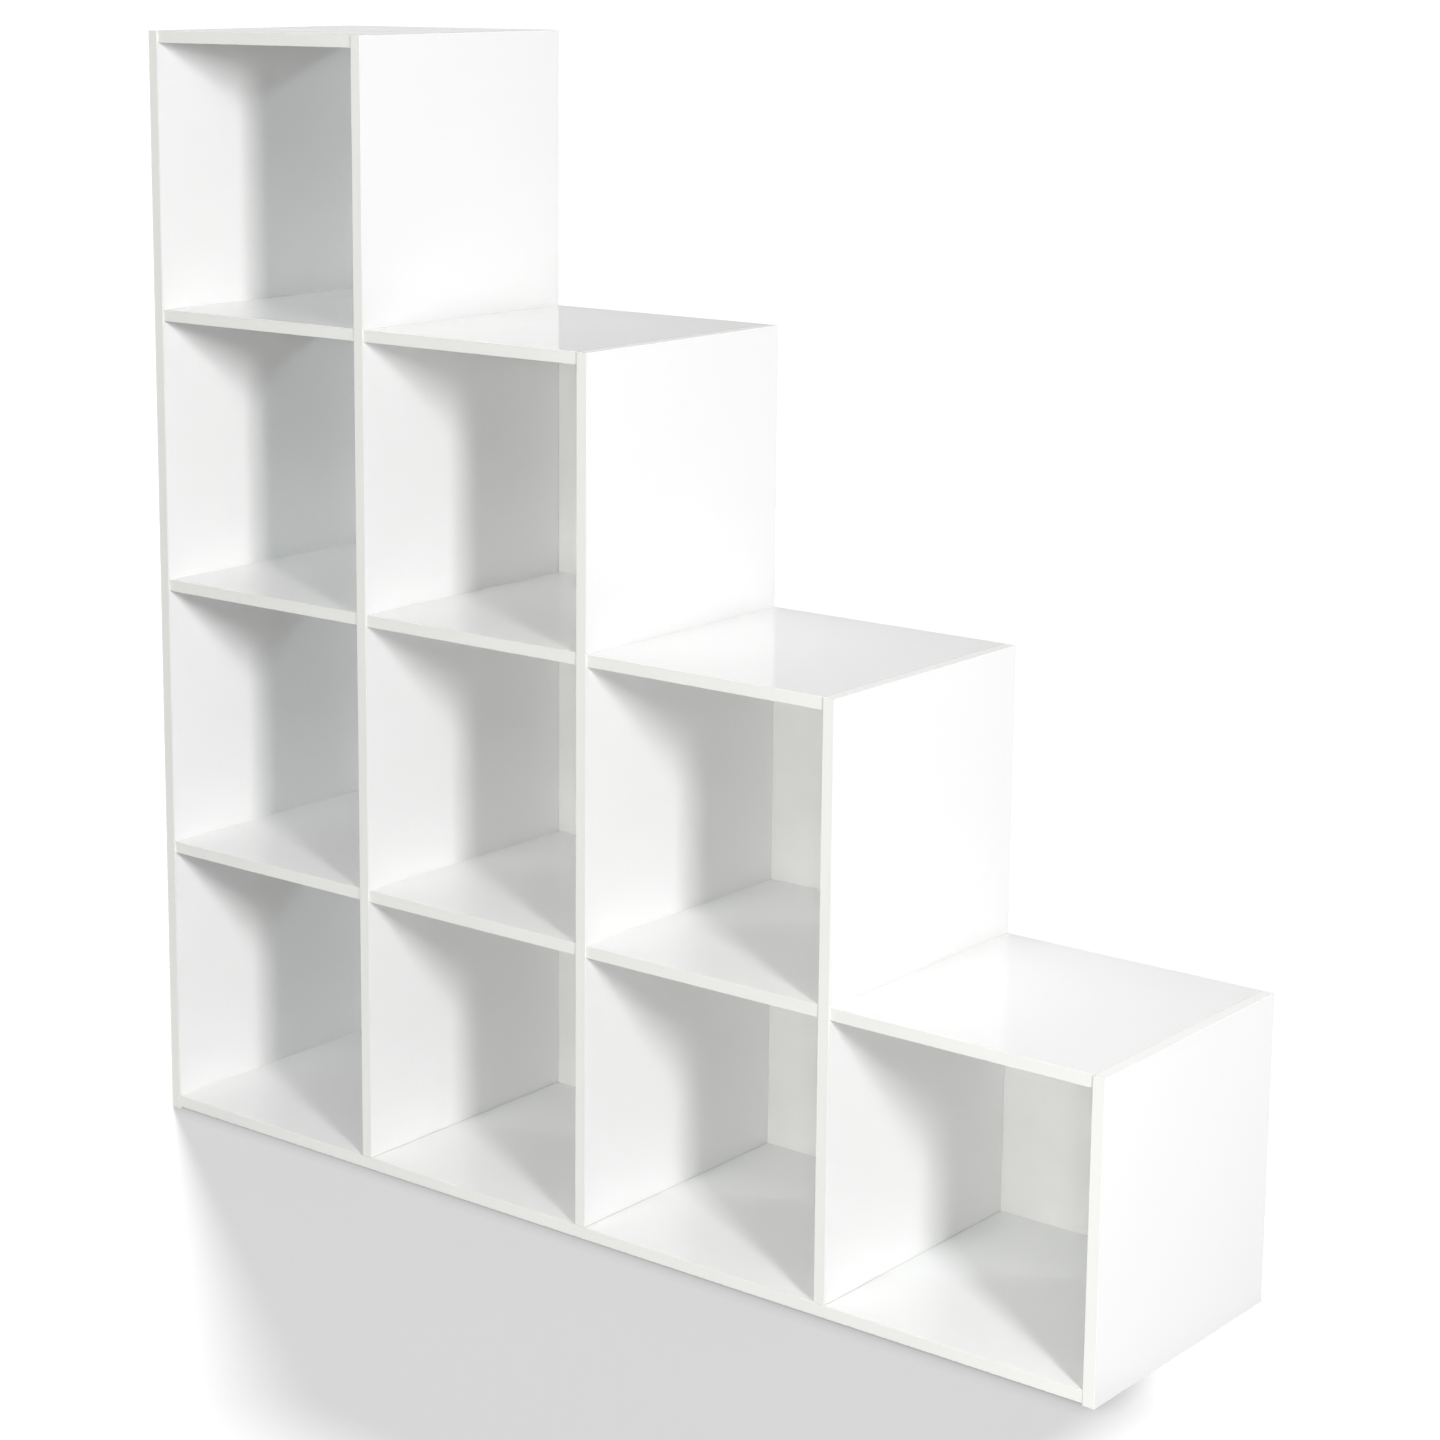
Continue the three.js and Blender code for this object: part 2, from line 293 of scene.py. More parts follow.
# %% Material: white melamine
white_melamine = make_finish(
    "white_melamine", tones=((0.922, 0.925, 0.919), (0.915, 0.919, 0.914)), patch=0.18,
    worn_tone=(0.80, 0.80, 0.78), wear_amount=0.3,
    gloss=(0.07, 0.10), grain=0.0012, swell=0.035, share=0.3, depth=0.000012,
)

# %% [markdown]
# ## Finish: edge banding
# The front edge of each board is closed with a strip of plastic, glued on hot and trimmed to a small radius. It
# is a little creamier and duller than the faces, and rolling the strip leaves fine lines along its length. The
# tone is warmer and the roughness higher. The ripple is stretched thirty times along the strip, so it takes one
# finish for the bands that stand and one for the bands that lie. The top ends of the uprights carry a third one,
# painted a little whiter than the same plastic elsewhere. This is a painted highlight for the light that falls on
# these upward strips, and it shows as a pale strip beside each step.

# %% Materials: edge banding in its three directions
BAND_STRETCH = 30
BAND_TONES = ((0.86, 0.863, 0.83), (0.84, 0.845, 0.815))
# The end band's lighter tones are painted light: a painted highlight on the upward strip of the same plastic.
PAINTED_LIGHT_END_BAND_TONES = ((0.955, 0.955, 0.940), (0.945, 0.945, 0.930))


def band_finish(name, stretch, tones):
    """The plastic of the bands, with its fine lines drawn out by the three factors."""
    return make_finish(
        name, tones, patch=0.10, worn_tone=(0.87, 0.87, 0.845), wear_amount=0.3,
        gloss=(0.30, 0.40), grain=0.0006, swell=0.004, share=0.4, depth=0.00002, stretch=stretch,
    )


standing_band = band_finish("edge_band_standing", (1, 1, BAND_STRETCH), BAND_TONES)
lying_band = band_finish("edge_band_lying", (BAND_STRETCH, 1, 1), BAND_TONES)
end_band_with_painted_light = band_finish("edge_band_end", (1, BAND_STRETCH, 1), PAINTED_LIGHT_END_BAND_TONES)

# %% [markdown]
# ## Finish: raw chipboard
# Under the white skins the board is wood chips pressed with resin: coarse in the middle, fine near the faces. It
# shows only where no band was glued: on the rear edges, the hidden ends, and in the bores and pockets. Voronoi
# cells make the chips, each with a tone of its own, and the same cells roughen the surface.

# %% Material: raw chipboard
CHIP_SIZE = 0.0022
CHIP_RELIEF = 0.0003
CHIP_TONES = ((0.1, (0.30, 0.19, 0.10, 1)), (0.9, (0.62, 0.46, 0.29, 1)))
CHIP_ROUGHNESS = (0.75, 0.95)
DUST_SIZE = 0.0006
DUST_SHARE = 0.35

raw_chipboard, tree, shader = new_material("raw_chipboard")
place = piece_place(tree)
chips = add_node(tree, "ShaderNodeTexVoronoi", {"Vector": place, "Scale": 1 / CHIP_SIZE})
chip_tone = add_node(tree, "ShaderNodeValToRGB", {"Fac": chips.outputs["Color"]})
for stop, (position, tone) in zip(chip_tone.color_ramp.elements, CHIP_TONES):
    stop.position, stop.color = position, tone
dust = noise_field(tree, place, DUST_SIZE, detail=3.0)
chip_bump = add_node(tree, "ShaderNodeBump", {
    "Strength": 1.0, "Distance": CHIP_RELIEF, "Height": chips.outputs["Distance"],
})
fill(tree, shader, {
    "Base Color": blended(tree, DUST_SHARE, chip_tone.outputs["Color"], dust.outputs["Color"], "SOFT_LIGHT"),
    "Roughness": ranged(tree, dust.outputs["Fac"], 0.0, 1.0, *CHIP_ROUGHNESS),
    "Normal": chip_bump.outputs["Normal"],
})
print("material:", raw_chipboard.name)

# %% [markdown]
# ## Finish: lacquered hardboard
# The panels behind are fibreboard, 3 mm thick. The room side is rolled with white lacquer, a shade greyer and
# much duller than the boards, and the fibres show as a faint mottle.

# %% Material: lacquered hardboard
white_hardboard = make_finish(
    "white_hardboard", tones=((0.92, 0.917, 0.892), (0.90, 0.897, 0.872)), patch=0.05,
    worn_tone=(0.42, 0.29, 0.18), wear_amount=0.5,
    gloss=(0.42, 0.55), grain=0.0009, swell=0.02, share=0.35, depth=0.00006,
)

# %% [markdown]
# ## Finish: raw back of the hardboard
# Hardboard is pressed on a wire screen so that the steam can leave, and the screen prints its weave into the
# brown rear face. Two crossed sets of fine waves make that print, over a brown that varies with the fibres.

# %% Material: screen side of the hardboard
SCREEN_PERIOD = 0.003619
WAVES_AT_SCALE_ONE = 10 / math.pi
SCREEN_SCALE = 1 / (SCREEN_PERIOD * WAVES_AT_SCALE_ONE)
SCREEN_RELIEF = 0.0003

brown_hardboard = make_finish(
    "brown_hardboard", tones=((0.33, 0.20, 0.11), (0.295, 0.175, 0.094)), patch=0.09,
    worn_tone=(0.45, 0.31, 0.19), wear_amount=0.6,
    gloss=(0.55, 0.75), grain=0.0008, swell=0.01, share=0.3, depth=0.0001,
)
tree = brown_hardboard.node_tree
shader = tree.nodes["Principled BSDF"]
place = piece_place(tree)
waves = {"Vector": place, "Scale": SCREEN_SCALE, "Distortion": 0.6}
across, along = (add_node(tree, "ShaderNodeTexWave", waves, bands_direction=axis) for axis in ("X", "Z"))
screen = calculated(tree, "MULTIPLY", across.outputs["Fac"], along.outputs["Fac"])
screen_bump = add_node(tree, "ShaderNodeBump", {
    "Strength": 0.6, "Distance": SCREEN_RELIEF, "Height": screen,
    "Normal": shader.inputs["Normal"].links[0].from_socket,
})
fill(tree, shader, {"Normal": screen_bump.outputs["Normal"]})
print("screen print every", SCREEN_PERIOD, "m")

# %% [markdown]
# ## Finish: metals of the fittings
# The cams are die-cast zinc, grey and slightly frosted, and the bolts, screws and nails are steel with a thin
# bright zinc plating that turns a little yellow. Both are plain metals with a Metallic of 1. Edges that rub are
# brighter, which the wear group gives.

# %% Materials: cast zinc and plated steel
METAL = {"patch": 0.004, "wear_amount": 0.8, "swell": 0.003, "share": 0.4, "metallic": 1.0}

cast_zinc = make_finish(
    "cast_zinc", tones=((0.56, 0.57, 0.58), (0.48, 0.49, 0.50)), worn_tone=(0.74, 0.75, 0.76),
    gloss=(0.34, 0.48), grain=0.0004, depth=0.00003, **METAL,
)
plated_steel = make_finish(
    "plated_steel", tones=((0.68, 0.66, 0.60), (0.60, 0.59, 0.56)), worn_tone=(0.80, 0.80, 0.79),
    gloss=(0.22, 0.36), grain=0.0003, depth=0.00001, **METAL,
)

# %% [markdown]
# ## Helpers for solids
# A board is a block with some of its arrises rounded. Bores, pockets, nails and screws are turned shapes: an
# outline of radii and heights, spun around an axis. Lengths of small parts are written in millimetres, as on a
# drawing.

# %% Helpers for solids
def mm(length):
    """Millimetres in metres."""
    return length * 0.001


def block_mesh(low, high, arris=0.0, chosen=lambda middle: True, steps=6):
    """A block. It rounds the edges whose middles, seen in a cube from -0.5 to 0.5, chosen() accepts."""
    mesh = bmesh.new()
    bmesh.ops.create_cube(mesh, size=1.0)
    edges = [edge for edge in mesh.edges if chosen((edge.verts[0].co + edge.verts[1].co) / 2)]
    size, centre = Vector(high) - Vector(low), (Vector(high) + Vector(low)) / 2
    for vertex in mesh.verts:
        vertex.co = vertex.co * size + centre
    if arris:
        bmesh.ops.bevel(mesh, geom=edges, offset=arris, segments=steps, profile=0.5, affect="EDGES")
    return mesh


AXIS_TURNS = {
    "X": Matrix.Rotation(math.pi / 2, 3, "Y"), "Y": Matrix.Rotation(-math.pi / 2, 3, "X"), "Z": Matrix.Identity(3),
}


def turned_mesh(profile, steps, axis="Z", place=(0, 0, 0)):
    """A closed solid of revolution from (radius, height) points that start and end on the axis."""
    mesh = bmesh.new()
    rings = []
    for radius, height in profile:
        if radius == 0:
            rings.append([mesh.verts.new((0, 0, height))] * steps)
        else:
            angles = (2 * math.pi * i / steps for i in range(steps))
            rings.append([mesh.verts.new((radius * math.cos(a), radius * math.sin(a), height)) for a in angles])
    for lower, upper in zip(rings, rings[1:]):
        for i in range(steps):
            j = (i + 1) % steps
            corners = [lower[i], lower[j], upper[j], upper[i]]
            mesh.faces.new(list(dict.fromkeys(corners)))
    for vertex in mesh.verts:
        vertex.co = AXIS_TURNS[axis] @ vertex.co + Vector(place)
    return mesh


def cylinder_mesh(radius, length, steps, axis, place):
    """A plain cylinder that starts at the place and runs along the axis."""
    return turned_mesh([(0, 0), (radius, 0), (radius, length), (0, length)], steps, axis, place)


def joined(meshes):
    """Several separate solids in one mesh."""
    whole = bmesh.new()
    for part in meshes:
        loose = bpy.data.meshes.new("loose")
        part.to_mesh(loose)
        part.free()
        whole.from_mesh(loose)
        bpy.data.meshes.remove(loose)
    return whole

# %% [markdown]
# ## Helpers for pieces
# A solid becomes an object with its finishes. Pockets and bores are cut out with a boolean whose result is kept,
# as a drill leaves them. Each finished piece rides on the shelf's one body, and the solid that it stands for is
# hidden.

# %% Helpers for pieces
ARRIS_LIMIT = 0.999
SHARP_ANGLE = math.radians(30)


def new_object(name, mesh, materials, material_of=None):
    """An object from a mesh. material_of() gives the number of each face's material."""
    data = bpy.data.meshes.new(name)
    bmesh.ops.recalc_face_normals(mesh, faces=mesh.faces)
    mesh.to_mesh(data)
    mesh.free()
    for material in materials:
        data.materials.append(material)
    if material_of:
        for face in data.polygons:
            face.material_index = material_of(face)
    piece = bpy.data.objects.new(name, data)
    scene.collection.objects.link(piece)
    return piece


def cut_out(piece, cutters, material_index=1):
    """Cuts each mesh of separate solids out of the piece. The new faces take the numbered material."""
    tools = [new_object("cutter", mesh, [], lambda face: material_index) for mesh in cutters]
    for tool in tools:
        cut = piece.modifiers.new("cut", "BOOLEAN")
        cut.operation, cut.solver, cut.object = "DIFFERENCE", "MANIFOLD", tool
    graph = bpy.context.evaluated_depsgraph_get()
    result = bpy.data.meshes.new_from_object(piece.evaluated_get(graph), depsgraph=graph)
    plain = piece.data
    piece.modifiers.clear()
    piece.data = result
    result.name = piece.name
    for mesh in [plain] + [tool.data for tool in tools]:
        bpy.data.meshes.remove(mesh)


def round_shading(piece):
    """Smooth shading that still breaks at sharp edges."""
    piece.data.shade_smooth()
    piece.data.set_sharp_from_angle(angle=SHARP_ANGLE)


def mark_arrises(mesh):
    """Writes the arris number: 1 where a face lies in none of the three main directions."""
    number = mesh.attributes.new("arris", "FLOAT", "FACE")
    values = [float(max(abs(n) for n in face.normal) < ARRIS_LIMIT) for face in mesh.polygons]
    number.data.foreach_set("value", values)


def finish_piece(piece, slot, *stands_for):
    """Marks the arrises, if another piece has not, puts the piece on the shelf's body and hides the solids it
    stands for.
    """
    if "arris" not in piece.data.attributes:
        mark_arrises(piece.data)
    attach(piece, "root")
    if stands_for:
        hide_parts(*stands_for)

# %% [markdown]
# ## Where the fittings sit
# Each cam fitting of the solid model is one bolt and one or two cams. Its box gives all that a drawing would: the
# cams are at its ends, its underside is the underside of the board, and the bolt runs at half the board's
# thickness. From these come the pockets and bores of the boards and, later, the fittings themselves.

# %% Read the fittings from the solid model
BOARD = mm(12)
CAM_RADIUS = mm(5.7)
CAM_SETBACK = mm(24)

uprights = ["left_side_board", "upright_2", "upright_3", "upright_4", "right_side_board"]
fittings = []
for name in sorted(name for name in frame["nodes"] if name.startswith("cam_fitting")):
    low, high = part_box(name)
    number = int(name.split("_")[3]) - 1
    middle = sum(corner.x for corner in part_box(uprights[number])) / 2
    fittings.append({
        "name": name,
        "upright": number,
        "middle": middle,
        "row": (low.y + high.y) / 2,
        "under": low.z,
        "axis": low.z + BOARD / 2,
        "cams": [x for x in (low.x + CAM_RADIUS, high.x - CAM_RADIUS) if abs(x - middle) > CAM_SETBACK],
    })
print(len(fittings), "fittings with", sum(len(fitting["cams"]) for fitting in fittings), "cams")

# %% [markdown]
# ## How a board is made
# Each board is one strip of faced chipboard, sawn to length and drilled, and a plastic band glued on its front
# edge. The drill is a cutter that starts a millimetre outside the board, so that it opens the face cleanly.

# %% Helpers for boards
SEAT = mm(0.3)
OVERCUT = mm(1)
BAND = mm(1.2)
ARRIS = mm(0.4)
FACING = 0.9


def make_core(name, low, high, raw_axes, *cutters):
    """The board without its bands: white faces, and raw chipboard in the holes and along the named axes."""
    def is_raw(face):
        return int(any(abs(face.normal["xyz".index(axis)]) > FACING for axis in raw_axes))

    core = new_object(name + "_core", block_mesh(low, high), [white_melamine, raw_chipboard], is_raw)
    cut_out(core, [joined(solids) for solids in cutters])
    finish_piece(core, "white_melamine", name)


def make_band(board, end, low, high, finish, arris, chosen, steps=6):
    """The band on one end of a board, with its chosen edges rounded."""
    band = new_object(f"{board}_{end}_band", block_mesh(low, high, arris, chosen, steps), [finish])
    finish_piece(band, "edge_band", board)

# %% [markdown]
# ## The uprights
# Five boards stand on edge: two side boards on the floor and three on the bottom board. Each has a second band, on
# its top end, which shows beside the step. The front band is trimmed to a small radius that catches a thin line
# of light. The top band lies flush with the step.

# %% Make the uprights
TOP_BAND = mm(1.0)
END_ARRIS = mm(0.12)
BOLT_RADIUS = mm(2.7)
BLIND_WALL = mm(3.2)
BORE_STEPS = 24


def bolt_bores(index):
    """The bores that an upright takes: right through for a bolt that serves both sides."""
    low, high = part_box(uprights[index])
    bores = []
    for fitting in (f for f in fittings if f["upright"] == index):
        cams, middle = fitting["cams"], fitting["middle"]
        start = low.x - OVERCUT if min(cams) < middle else low.x + BLIND_WALL
        end = high.x + OVERCUT if max(cams) > middle else high.x - BLIND_WALL
        place = (start, fitting["row"], fitting["axis"])
        bores.append(cylinder_mesh(BOLT_RADIUS + SEAT / 2, end - start, BORE_STEPS, "X", place))
    return bores


for index, name in enumerate(uprights):
    low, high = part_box(name)
    front, top = low.y + BAND, high.z - TOP_BAND
    make_core(name, (low.x, front, low.z), (high.x, high.y, top), "yz", bolt_bores(index))
    make_band(name, "front", low, (high.x, front, high.z), standing_band, ARRIS, lambda m: m.y < 0 and m.z == 0)
    make_band(name, "top", (low.x, front, top), high, end_band_with_painted_light, END_ARRIS, lambda m: m.z > 0 and m.y == 0, 3)
print("uprights:", ", ".join(uprights))

# %% [markdown]
# ## The shelves, the steps and the bottom board
# Ten short boards make the floors and tops of the cubes, and one long board lies under them all. They have a
# pocket for a cam near each end, drilled up from below so that no fitting shows from above, and a bore from the
# end into each pocket. The long board also takes the countersunk screws that hold the three inner uprights. Cams
# draw a joint up until no line of light is left in it, so each board is made longer by most of the seat.

# %% Make the flat boards
DRAWN_IN = mm(0.22)
POCKET_DEPTH = mm(9.5)
POCKET_STEPS = 48
SCREW_HEAD = mm(4)
SCREW_SHANK = mm(2)
SCREW_HOLE_STEPS = 32

screws = sorted(name for name in frame["nodes"] if name.startswith("foot_screw"))


def cam_holes(low, high):
    """The pockets and the bores of one flat board, as two lists of solids."""
    pockets, bores = [], []
    for fitting in (f for f in fittings if abs(f["under"] - low.z) < OVERCUT):
        for x in (x for x in fitting["cams"] if low.x < x < high.x):
            mouth = (x, fitting["row"], low.z - OVERCUT)
            pockets.append(cylinder_mesh(CAM_RADIUS + SEAT, POCKET_DEPTH + OVERCUT, POCKET_STEPS, "Z", mouth))
            start = low.x - OVERCUT if x - low.x < high.x - x else x
            place = (start, fitting["row"], fitting["axis"])
            bores.append(cylinder_mesh(BOLT_RADIUS + SEAT, CAM_SETBACK + OVERCUT, BORE_STEPS, "X", place))
    return pockets, bores


def screw_holes():
    """Countersunk holes in the bottom board, one over each screw of the solid model."""
    mouth, bore = SCREW_HEAD + SEAT, SCREW_SHANK + SEAT
    profile = [
        (0, -OVERCUT), (mouth, -OVERCUT), (mouth, 0), (bore, mouth - bore),
        (bore, BOARD + OVERCUT), (0, BOARD + OVERCUT),
    ]
    corners = (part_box(name) for name in screws)
    places = [((low.x + high.x) / 2, (low.y + high.y) / 2, low.z) for low, high in corners]
    return [turned_mesh(profile, SCREW_HOLE_STEPS, "Z", place) for place in places]


flat_boards = [name for name in frame["nodes"] if name.startswith(("bottom_board", "column_"))]
for name in flat_boards:
    low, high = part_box(name)
    front = low.y + BAND
    pockets, bores = cam_holes(low, high)
    if name == "bottom_board":
        pockets += screw_holes()
    core_low, core_high = (low.x - DRAWN_IN, front, low.z), (high.x + DRAWN_IN, high.y, high.z)
    make_core(name, core_low, core_high, "xy", pockets, bores)
    make_band(name, "front", low, (high.x, front, high.z), lying_band, ARRIS, lambda m: m.y < 0 and m.x == 0)
print("flat boards:", len(flat_boards))

# %% [markdown]
# ## The nails
# A thin panel closes each column from behind and keeps the frame square. It is nailed to the rear edges of the
# boards, about one nail to a hand's width, and each nail is driven just below the surface, where it leaves a
# dimple.

# %% Helpers for nails
NAIL_SUNK = mm(0.3)
NAIL_EDGE = mm(3)
NAILS_ALONG_BOARD = (0.3, 0.7)
NAILS_UP_CUBE = (0.2, 0.5, 0.8)
NAIL_STEPS = 16
DIMPLE_DEPTH = mm(0.9)
DIMPLE_STEPS = 24
LEVEL_PITCH = mm(282)
PANEL_INSET = mm(3)

# Outlines from the front of the dimple and from the rear of the nail's head, as (radius, place along Y) points.
DIMPLE_OUTLINE = [(0, 0), (mm(2.3), 0), (mm(2.3), DIMPLE_DEPTH), (mm(2.9), mm(1.5)), (0, mm(1.5))]
NAIL_OUTLINE = [
    (0, 0), (mm(1.76), 0), (mm(2.2), mm(-0.2)), (mm(2.2), mm(-0.5)), (mm(0.7), mm(-0.9)), (mm(0.7), mm(-18)),
    (0, mm(-20)),
]


def nail_places(low, high):
    """Points on the rear face: three to a cube up both sides, and two along every flat board."""
    cubes = round((high.z - low.z) / LEVEL_PITCH)
    places = []
    for cube in range(cubes + 1):
        board_middle = low.z + BOARD / 2 - PANEL_INSET + cube * LEVEL_PITCH
        places += [(low.x + share * (high.x - low.x), board_middle) for share in NAILS_ALONG_BOARD]
        if cube < cubes:
            heights = [board_middle + share * LEVEL_PITCH for share in NAILS_UP_CUBE]
            places += [(x, z) for z in heights for x in (low.x + NAIL_EDGE, high.x - NAIL_EDGE)]
    return places


def turned_at(places, y, outline, steps):
    """The same small turned solid at each of the (x, z) places, in one mesh."""
    return joined([turned_mesh(outline, steps, "Y", (x, y, z)) for x, z in places])

# %% [markdown]
# ## The back panels
# The four panels are alike but for their height, white on the room side and brown behind. Their sawn edges are
# only just broken. The nails of one panel are one mesh of separate small nails.

# %% Make the back panels
PANEL_ARRIS = mm(0.3)
LACQUERED_SIDE = -0.5

for name in sorted(name for name in frame["nodes"] if name.startswith("back_panel")):
    low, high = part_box(name)
    panel = new_object(
        name + "_board", block_mesh(low, high, PANEL_ARRIS, steps=2), [white_hardboard, brown_hardboard],
        lambda face: int(face.normal.y > LACQUERED_SIDE),
    )
    places, head = nail_places(low, high), high.y - NAIL_SUNK
    cut_out(panel, [turned_at(places, head - DIMPLE_DEPTH, DIMPLE_OUTLINE, DIMPLE_STEPS)])
    finish_piece(panel, "white_hardboard", name)
    nails = new_object(name + "_nails", turned_at(places, head, NAIL_OUTLINE, NAIL_STEPS), [plated_steel])
    round_shading(nails)
    finish_piece(nails, "plated_steel")
    print(name, "with", len(places), "nails")

# %% [markdown]
# ## The cams
# A cam is a zinc disc with a cross in its face and a hook inside: a quarter turn of a screwdriver pulls the bolt's
# head in. All cams are alike, so one is made at the origin and its mesh is shared. The disc is turned with a
# shallow ring in its face and an eased rim. The cross, the window for the bolt and the hollow for the bolt's head
# are cut out.

# %% Make one cam
CAM_HEIGHT = POCKET_DEPTH - SEAT
CAM_EASE = mm(0.4)
CROSS_LENGTH = mm(3.5)
CROSS_WIDTH = mm(0.65)
CROSS_DEPTH = mm(1.5)
CROSS_ARRIS = mm(0.3)
NECK_RADIUS = mm(1.8)
WINDOW_END = -0.3 * CAM_RADIUS
WINDOW_ARRIS = mm(1)
HOLLOW_RADIUS = mm(2.6)
HOLLOW_HEIGHT = mm(5.4)
HOLLOW_PLACE = mm(-0.4)
HOLLOW_STEPS = 32

# The shallow ring in the face, as (distance from the rim, depth) points.
RING = [(mm(1.6), 0), (mm(1.4), mm(0.25)), (mm(1.0), mm(0.25)), (mm(0.8), 0)]


def cam_object():
    """A cam with its face down at z = 0 and its window towards -X."""
    rim, middle, gap = CAM_RADIUS, BOARD / 2, NECK_RADIUS + SEAT
    profile = [
        (0, 0), *((rim - inset, depth) for inset, depth in RING), (rim - CAM_EASE, 0), (rim, CAM_EASE),
        (rim, CAM_HEIGHT - CAM_EASE), (rim - CAM_EASE, CAM_HEIGHT), (0, CAM_HEIGHT),
    ]
    cam = new_object("cam", turned_mesh(profile, POCKET_STEPS), [cast_zinc])
    cross = []
    for long, wide in ((CROSS_LENGTH, CROSS_WIDTH), (CROSS_WIDTH, CROSS_LENGTH)):
        corner = Vector((long, wide, CROSS_DEPTH))
        cross.append(block_mesh(-corner, corner, CROSS_ARRIS, lambda m: m.z > 0, steps=3))
    window_low, window_high = (-rim - OVERCUT, -gap, middle - gap), (WINDOW_END, gap, middle + gap)
    window = block_mesh(window_low, window_high, WINDOW_ARRIS, lambda m: m.x >= 0, steps=5)
    hollow_place = (HOLLOW_PLACE, 0, middle - HOLLOW_HEIGHT / 2)
    hollow = cylinder_mesh(HOLLOW_RADIUS, HOLLOW_HEIGHT, HOLLOW_STEPS, "Z", hollow_place)
    cut_out(cam, [*cross, window, hollow], material_index=0)
    round_shading(cam)
    return cam


cam_master = cam_object()
print("one cam:", len(cam_master.data.polygons), "faces")

# %% [markdown]
# ## The bolts
# The bolt is turned steel: a threaded end that bites into the side board, or a plain shaft right through an inner
# upright, then a thin neck and a small head that the cam hooks. The thread is a real helix, made by letting the
# radius rise and fall with both the height and the turn.

# %% Make the two kinds of bolt
CAM_DISTANCE = BOARD / 2 + SEAT + CAM_SETBACK
NECK_START = CAM_DISTANCE - CAM_RADIUS - mm(4)
SHAFT_EASE = mm(0.5)
HEAD_RADIUS = mm(2.3)
BOLT_PITCH = mm(1.2)
BOLT_THREAD = mm(0.55)
BOLT_RINGS = 48
BOLT_STEPS = 24
THREAD_RUN_IN = 0.3

# The plain half of a bolt, as (radius, distance from the upright's middle) points.
BOLT_ARM = [
    (BOLT_RADIUS, NECK_START - SHAFT_EASE), (BOLT_RADIUS - SHAFT_EASE, NECK_START),
    (NECK_RADIUS, NECK_START + mm(0.4)), (NECK_RADIUS, CAM_DISTANCE - mm(2.2)),
    (HEAD_RADIUS, CAM_DISTANCE - mm(1.6)), (HEAD_RADIUS, CAM_DISTANCE - mm(0.4)),
    (HEAD_RADIUS - mm(0.6), CAM_DISTANCE), (0, CAM_DISTANCE),
]


def straight(radius, start, end, rings):
    """A straight part of an outline, in many short steps that a thread can bend."""
    return [(radius, start + (end - start) * i / rings) for i in range(rings + 1)]


def threaded_mesh(profile, pitch, depth, start, end):
    """A turned solid along +Z whose radius carries a helix of the given pitch between two heights."""
    mesh = turned_mesh(profile, BOLT_STEPS)
    for vertex in mesh.verts:
        height, radius = vertex.co.z, vertex.co.xy.length
        if radius > 0 and start <= height <= end:
            turn = math.atan2(vertex.co.y, vertex.co.x) / (2 * math.pi)
            phase = (height / pitch - turn) % 1.0
            fade = min(1.0, (end - height) / pitch, (height - start) / pitch + THREAD_RUN_IN)
            vertex.co.xy *= 1 - max(fade, 0) * depth / radius * abs(2 * phase - 1)
    return mesh


def single_bolt():
    """A bolt whose threaded end sits in a side board."""
    start, end = BLIND_WALL + SEAT - BOARD / 2, BOARD / 2
    profile = [(0, start), *straight(BOLT_RADIUS, start, end, BOLT_RINGS), *BOLT_ARM]
    return threaded_mesh(profile, BOLT_PITCH, BOLT_THREAD, start, end)


def double_bolt():
    """A plain bolt right through an inner upright, with a head at both ends."""
    return turned_mesh([(radius, -height) for radius, height in reversed(BOLT_ARM)] + BOLT_ARM, BOLT_STEPS)


bolt_masters = {}
for kind, mesh in (("single", single_bolt()), ("double", double_bolt())):
    bmesh.ops.rotate(mesh, verts=mesh.verts, cent=(0, 0, 0), matrix=AXIS_TURNS["X"])
    bolt_masters[kind] = new_object(f"{kind}_bolt", mesh, [plated_steel])
    round_shading(bolt_masters[kind])
    print(kind, "bolt:", len(bolt_masters[kind].data.polygons), "faces")

# %% [markdown]
# ## Placing the fittings
# Each fitting of the solid model becomes a bolt and its cams, as separate pieces that share the meshes above. A
# cam's window faces the upright, and each cross leans a few degrees one way or the other, as a hand leaves them.

# %% Place the bolts and cams
LEAN_LIMIT = 5
LEAN_STEP = 37


def copy_of(master, name, place, turn):
    """A piece that shares the master's mesh, turned about the upright axis."""
    piece = bpy.data.objects.new(name, master.data)
    piece.location = place
    piece.rotation_euler = (0, 0, turn)
    scene.collection.objects.link(piece)
    return piece


for number, fitting in enumerate(fittings):
    name, cams, middle, row = (fitting[key] for key in ("name", "cams", "middle", "row"))
    label = name.replace("cam_fitting_", "")
    kind = "double" if len(cams) == 2 else "single"
    turn = math.pi if kind == "single" and cams[0] < middle else 0.0
    bolt = copy_of(bolt_masters[kind], "bolt_" + label, (middle, row, fitting["axis"]), turn)
    finish_piece(bolt, "plated_steel", name)
    lean = math.radians(number * LEAN_STEP % (2 * LEAN_LIMIT + 1) - LEAN_LIMIT)
    for x in cams:
        side, turn = ("right", 0.0) if x > middle else ("left", math.pi)
        cam = copy_of(cam_master, f"cam_{label}_{side}", (x, row, fitting["under"]), turn + lean)
        finish_piece(cam, "zinc_alloy", name)
for master in (cam_master, *bolt_masters.values()):
    bpy.data.objects.remove(master)
print("placed", len(fittings), "bolts and", sum(len(fitting["cams"]) for fitting in fittings), "cams")

# %% [markdown]
# ## The foot screws
# Six countersunk screws come up through the bottom board into the inner uprights. The head lies flush with the
# underside and has a cross recess with sloping walls, and the shank has a coarse wood thread and a point.

